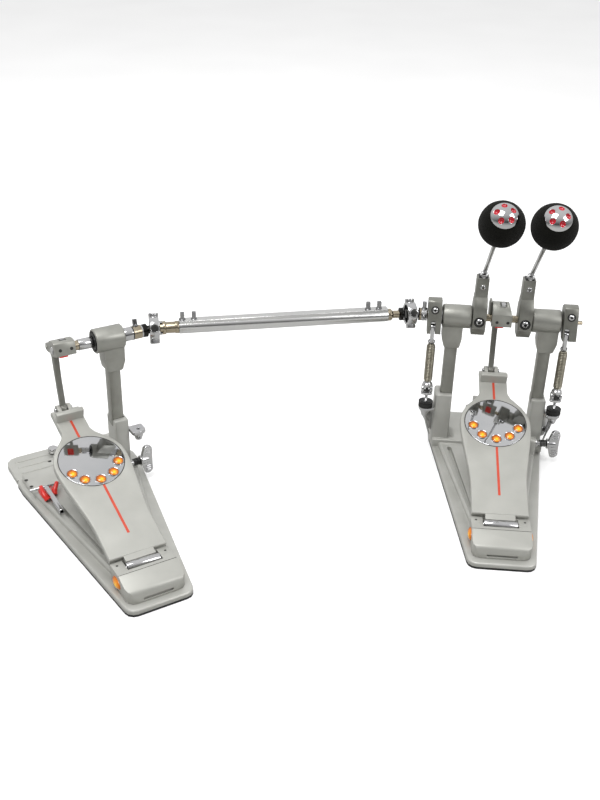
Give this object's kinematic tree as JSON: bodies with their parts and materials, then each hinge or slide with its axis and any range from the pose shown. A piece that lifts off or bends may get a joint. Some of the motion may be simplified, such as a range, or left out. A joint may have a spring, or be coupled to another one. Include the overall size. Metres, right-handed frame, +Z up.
{
  "type": "bass drum pedal",
  "caption": "Double bass drum pedal: a main pedal with two felt beaters, a slave pedal with its own footboard, and a telescopic drive shaft with universal joints between them.",
  "frame": {"origin": "on the floor under the middle of the main pedal's axle, on the sole of its rubber mat", "axes": "+Z up, +Y towards the drum, +X to the player's right along the main axle"},
  "size_m": [0.8282, 0.5502, 0.4382],
  "materials": {
    "grey_paint": "satin warm grey",
    "dark_casting": "satin dark grey",
    "bearing_steel": "dark",
    "chrome": "polished",
    "bronze": "pale nickel bronze",
    "spring_wire": "bronze grey",
    "satin_aluminium": "satin",
    "rubber": "matte",
    "knob_plastic": "knurled",
    "felt": "dense felt",
    "red_plastic": "gloss"
  },
  "bodies": {
    "main_frame": {"main_base": "grey_paint", "main_rubber_mat": "rubber", "main_heel_block": "grey_paint", "left_upright": "grey_paint", "right_upright": "grey_paint", "left_bearing": "bearing_steel", "right_bearing": "bearing_steel", "left_spring_bracket": "chrome", "right_spring_bracket": "chrome", "left_spring": "spring_wire", "right_spring": "spring_wire"},
    "main_footboard": {"main_footboard": "grey_paint", "main_toe_plate": "chrome", "main_hinge_pin": "chrome", "main_clevis_pin": "chrome"},
    "main_axle": {"main_axle": "bronze", "main_cam": "grey_paint", "right_beater_holder": "grey_paint", "right_beater_rod": "chrome", "right_beater_head": "felt", "right_beater_cap": "chrome", "right_spring_rocker": "dark_casting", "right_spring_hook": "chrome"},
    "main_link": {"main_link": "dark_casting"},
    "left_beater": {"left_beater_shaft": "bronze", "left_beater_holder": "grey_paint", "left_beater_rod": "chrome", "left_beater_head": "felt", "left_beater_cap": "chrome", "left_spring_rocker": "dark_casting", "left_spring_hook": "chrome"},
    "drive_shaft": {"drive_shaft_sleeve": "satin_aluminium", "main_inner_shaft": "bronze", "main_joint_cross": "chrome"},
    "slave_shaft_end": {"slave_inner_shaft": "bronze", "slave_joint_cross": "chrome"},
    "slave_frame": {"slave_base": "grey_paint", "slave_rubber_mat": "rubber", "stabiliser_plate": "grey_paint", "slave_heel_block": "grey_paint", "slave_upright": "grey_paint", "slave_bearing": "bearing_steel", "slave_spring_bracket": "chrome", "key_clip": "red_plastic"},
    "slave_footboard": {"slave_footboard": "grey_paint", "slave_toe_plate": "chrome", "slave_hinge_pin": "chrome", "slave_clevis_pin": "chrome"},
    "slave_axle": {"slave_axle": "chrome", "slave_cam": "grey_paint"},
    "slave_link": {"slave_link": "dark_casting"},
    "left_tension_knob": {"left_tension_knob": "knob_plastic"},
    "right_tension_knob": {"right_tension_knob": "knob_plastic"},
    "left_tension_rod": {"left_tension_rod": "chrome"},
    "right_tension_rod": {"right_tension_rod": "chrome"},
    "hoop_clamp_jaw": {"hoop_clamp_jaw": "grey_paint"},
    "hoop_clamp_wing_bolt": {"hoop_clamp_wing_bolt": "chrome"},
    "slave_wing_bolt": {"slave_wing_bolt": "chrome"},
    "drum_key": {"drum_key": "chrome"}
  },
  "joints": [
    {"name": "main_axle_turn", "type": "hinge", "parent": "main_frame", "child": "main_axle", "pos_m": [0, 0, 0.2207], "axis": [1, 0, 0], "range_deg": [-39, 4.6], "stiffness_Nm_per_rad": 1.2, "deforming": ["right_spring"]},
    {"name": "main_footboard_hinge", "type": "hinge", "parent": "main_frame", "child": "main_footboard", "pos_m": [0, -0.247, 0.0305], "axis": [1, 0, 0], "range_deg": [-4.22, 0.52]},
    {"name": "main_link_pivot", "type": "hinge", "parent": "main_axle", "child": "main_link", "pos_m": [0, 0.026, 0.222], "axis": [1, 0, 0], "range_deg": [-5.42, 45.82]},
    {"name": "left_beater_turn", "type": "hinge", "parent": "main_frame", "child": "left_beater", "pos_m": [0, 0, 0.2207], "axis": [1, 0, 0], "range_deg": [-18.2, 20], "stiffness_Nm_per_rad": 1.2, "deforming": ["left_spring"]},
    {"name": "drive_shaft_turn", "type": "hinge", "parent": "main_frame", "child": "drive_shaft", "pos_m": [-0.132, 0, 0.2207], "axis": [0.9644, 0.2645, 0], "range_deg": [-18.22, 20.02]},
    {"name": "slave_pedal_distance", "type": "slide", "parent": "main_frame", "child": "slave_frame", "axis": [-0.9644, -0.2645, 0], "range_m": [0, 0.08]},
    {"name": "slave_shaft_end_turn", "type": "hinge", "parent": "slave_frame", "child": "slave_shaft_end", "pos_m": [-0.49035, -0.09827, 0.2207], "axis": [0.9644, 0.2645, 0], "range_deg": [-18.22, 20.02]},
    {"name": "slave_axle_turn", "type": "hinge", "parent": "slave_frame", "child": "slave_axle", "pos_m": [-0.5987, -0.1754, 0.2207], "axis": [0.8147, 0.5799, 0], "range_deg": [-18.22, 20.02]},
    {"name": "slave_footboard_hinge", "type": "hinge", "parent": "slave_frame", "child": "slave_footboard", "pos_m": [-0.45547, -0.37663, 0.0305], "axis": [0.8147, 0.5799, 0], "range_deg": [-2.07, 2.27]},
    {"name": "slave_link_pivot", "type": "hinge", "parent": "slave_axle", "child": "slave_link", "pos_m": [-0.61341, -0.15473, 0.21485], "axis": [0.8147, 0.5799, 0], "range_deg": [-23.58, 21.46]},
    {"name": "left_tension_knob_turn", "type": "hinge", "parent": "main_frame", "child": "left_tension_knob", "pos_m": [-0.0985, -0.019, 0.0835], "axis": [0, 0, 1], "range_deg": [-1081, 1]},
    {"name": "right_tension_knob_turn", "type": "hinge", "parent": "main_frame", "child": "right_tension_knob", "pos_m": [0.0925, -0.019, 0.0835], "axis": [0, 0, 1], "range_deg": [-1081, 1]},
    {"name": "left_tension_rod_slide", "type": "slide", "parent": "main_frame", "child": "left_tension_rod", "axis": [0, 0, 1], "range_m": [-0.003, 0]},
    {"name": "right_tension_rod_slide", "type": "slide", "parent": "main_frame", "child": "right_tension_rod", "axis": [0, 0, 1], "range_m": [-0.003, 0]},
    {"name": "hoop_clamp_wing_bolt_turn", "type": "hinge", "parent": "main_frame", "child": "hoop_clamp_wing_bolt", "pos_m": [0.06, -0.032, 0.033], "axis": [1, 0, 0], "range_deg": [0, 1080]},
    {"name": "hoop_clamp_jaw_turn", "type": "hinge", "parent": "main_frame", "child": "hoop_clamp_jaw", "pos_m": [0, 0.045, 0.04], "axis": [1, 0, 0], "range_deg": [-8.02, 0]},
    {"name": "slave_wing_bolt_turn", "type": "hinge", "parent": "slave_frame", "child": "slave_wing_bolt", "pos_m": [-0.53126, -0.16668, 0.033], "axis": [0.8147, 0.5799, 0], "range_deg": [0, 1080]},
    {"name": "drum_key_lift", "type": "slide", "parent": "slave_frame", "child": "drum_key", "axis": [0, 0, 1], "range_m": [0, 0.03]}
  ],
  "couplings": [
    {"joint": "main_footboard_hinge", "follows": "main_axle_turn", "ratio": 0.10762},
    {"joint": "main_link_pivot", "follows": "main_axle_turn", "ratio": -1.1745},
    {"joint": "drive_shaft_turn", "follows": "left_beater_turn", "ratio": 1},
    {"joint": "slave_shaft_end_turn", "follows": "left_beater_turn", "ratio": 1},
    {"joint": "slave_axle_turn", "follows": "left_beater_turn", "ratio": 1},
    {"joint": "slave_footboard_hinge", "follows": "left_beater_turn", "ratio": 0.11246},
    {"joint": "slave_link_pivot", "follows": "left_beater_turn", "ratio": -1.178},
    {"joint": "left_tension_knob_turn", "follows": "left_tension_rod_slide", "rad_per_m": 6283.2},
    {"joint": "right_tension_knob_turn", "follows": "right_tension_rod_slide", "rad_per_m": 6283.2},
    {"joint": "hoop_clamp_jaw_turn", "follows": "hoop_clamp_wing_bolt_turn", "ratio": -0.0074074}
  ]
}
